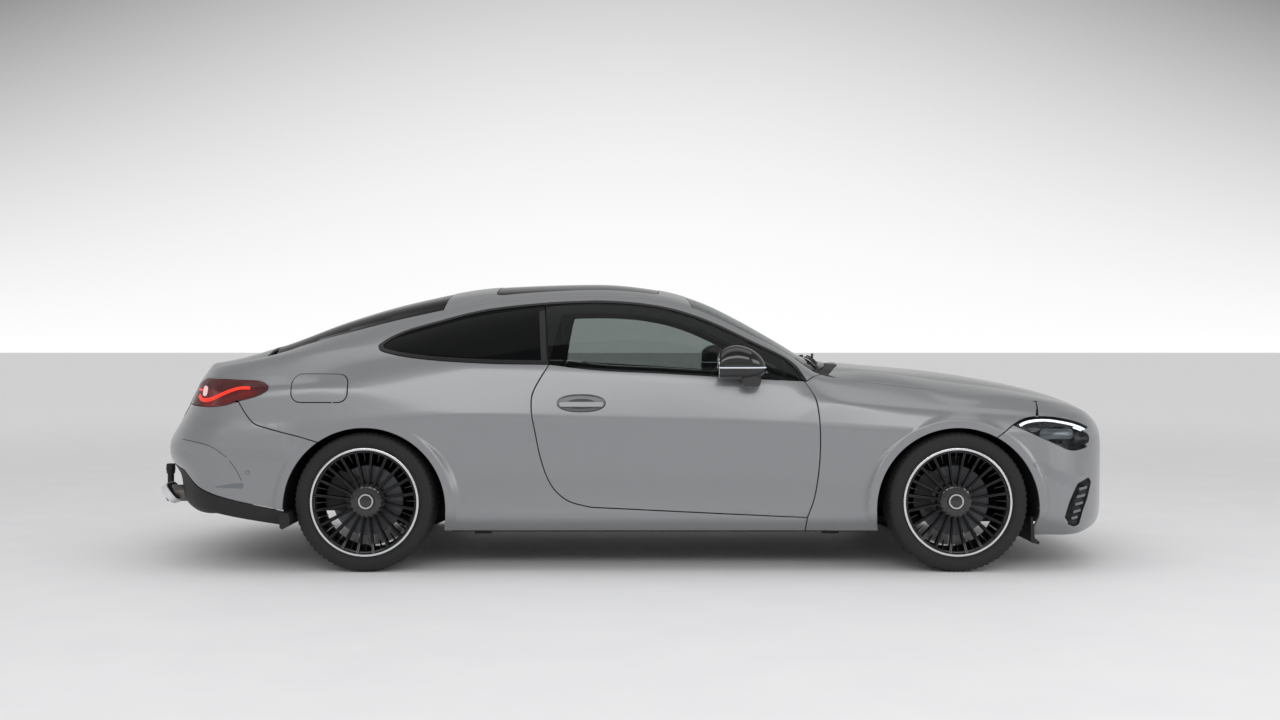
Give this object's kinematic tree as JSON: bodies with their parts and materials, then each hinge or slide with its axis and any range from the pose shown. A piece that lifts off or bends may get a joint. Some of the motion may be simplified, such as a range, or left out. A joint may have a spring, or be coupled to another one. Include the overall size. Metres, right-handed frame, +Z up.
{
  "type": "two-door coupe car",
  "caption": "Two-door coupe with hinged doors, bonnet, boot lid and fuel flap, steered front wheels, rolling wheels and a rear tow ball.",
  "frame": {"origin": "on the ground under the tyres, on the centre plane, midway between the nose and the end of the tow ball", "axes": "+X forward, +Y to the car's left, +Z up"},
  "size_m": [4.995, 2.081, 1.425],
  "materials": {
    "body_paint": "satin metallic silver grey",
    "black_gloss": "gloss black",
    "black_plastic": "grained matt black",
    "window_glass": "lightly tinted",
    "dark_glass": "dark privacy tint",
    "lamp_clear": "clear lens over dark housing",
    "lamp_red": "red lens",
    "tyre_rubber": "matt rubber",
    "rim_black": "gloss black with a machined lip",
    "steel": "bare steel",
    "cast": "cast metal",
    "chrome_trim": "polished",
    "seat_leather": "black leather",
    "soft_trim": "soft grained black",
    "underbody": "dark primer"
  },
  "bodies": {
    "body": {"floor_pan": "underbody", "body_shell": "body_paint", "roof_panel": "body_paint", "roof_glass": "dark_glass", "front_fenders": "body_paint", "front_bumper": "body_paint", "rear_bumper": "body_paint", "windscreen": "window_glass", "rear_window": "dark_glass", "quarter_glass": "dark_glass", "headlamps": "lamp_clear", "tail_lamps": "lamp_red", "grille": "black_gloss", "arch_liners": "black_plastic", "front_seats": "seat_leather", "rear_bench": "seat_leather", "dashboard": "soft_trim", "engine_block": "cast", "exhaust": "chrome_trim", "tow_bar": "steel", "wipers": "black_plastic", "front_suspension": "cast", "rear_axle": "cast"},
    "door_left": {"door_left": "body_paint", "door_glass_left": "window_glass", "mirror_left": "black_gloss"},
    "door_right": {"door_right": "body_paint", "door_glass_right": "window_glass", "mirror_right": "black_gloss"},
    "bonnet": {"bonnet": "body_paint"},
    "boot_lid": {"boot_lid": "body_paint"},
    "fuel_flap": {"fuel_flap": "body_paint"},
    "steering_wheel": {"steering_wheel": "seat_leather"},
    "knuckle_front_left": {"knuckle_front_left": "cast"},
    "knuckle_front_right": {"knuckle_front_right": "cast"},
    "wheel_front_left": {"tyre_front_left": "tyre_rubber", "wheel_front_left": "rim_black"},
    "wheel_front_right": {"tyre_front_right": "tyre_rubber", "wheel_front_right": "rim_black"},
    "wheel_rear_left": {"tyre_rear_left": "tyre_rubber", "wheel_rear_left": "rim_black"},
    "wheel_rear_right": {"tyre_rear_right": "tyre_rubber", "wheel_rear_right": "rim_black"}
  },
  "joints": [
    {"name": "door_right_hinge", "type": "hinge", "parent": "body", "child": "door_right", "pos_m": [0.9725, -0.9165, 0.6], "axis": [0, 0, 1], "range_deg": [0, 65]},
    {"name": "door_left_hinge", "type": "hinge", "parent": "body", "child": "door_left", "pos_m": [0.9725, 0.9165, 0.6], "axis": [0, 0, -1], "range_deg": [0, 65]},
    {"name": "bonnet_hinge", "type": "hinge", "parent": "body", "child": "bonnet", "pos_m": [1.0325, 0, 1.006], "axis": [0, -1, 0], "range_deg": [0, 50]},
    {"name": "boot_lid_hinge", "type": "hinge", "parent": "body", "child": "boot_lid", "pos_m": [-1.7825, 0, 1.104], "axis": [0, 1, 0], "range_deg": [0, 75]},
    {"name": "fuel_flap_hinge", "type": "hinge", "parent": "body", "child": "fuel_flap", "pos_m": [-1.3125, -0.9165, 0.888], "axis": [0, 0, 1], "range_deg": [0, 85]},
    {"name": "steer_left", "type": "hinge", "parent": "body", "child": "knuckle_front_left", "pos_m": [1.6325, 0.76, 0.337], "axis": [0, 0, 1], "range_deg": [-35, 35]},
    {"name": "steer_right", "type": "hinge", "parent": "body", "child": "knuckle_front_right", "pos_m": [1.6325, -0.76, 0.337], "axis": [0, 0, 1], "range_deg": [-35, 35]},
    {"name": "steering_column", "type": "hinge", "parent": "body", "child": "steering_wheel", "pos_m": [0.5925, 0.37, 0.85], "axis": [-0.9135, 0, 0.4067], "range_deg": [-455, 455]},
    {"name": "roll_front_left", "type": "hinge", "parent": "knuckle_front_left", "child": "wheel_front_left", "pos_m": [1.6325, 0.806, 0.337], "axis": [0, 1, 0], "continuous": true},
    {"name": "roll_front_right", "type": "hinge", "parent": "knuckle_front_right", "child": "wheel_front_right", "pos_m": [1.6325, -0.806, 0.337], "axis": [0, 1, 0], "continuous": true},
    {"name": "roll_rear_left", "type": "hinge", "parent": "body", "child": "wheel_rear_left", "pos_m": [-1.2325, 0.806, 0.337], "axis": [0, 1, 0], "continuous": true},
    {"name": "roll_rear_right", "type": "hinge", "parent": "body", "child": "wheel_rear_right", "pos_m": [-1.2325, -0.806, 0.337], "axis": [0, 1, 0], "continuous": true}
  ],
  "couplings": [
    {"joint": "steer_right", "follows": "steer_left", "ratio": 1},
    {"joint": "steering_column", "follows": "steer_left", "ratio": 13}
  ]
}
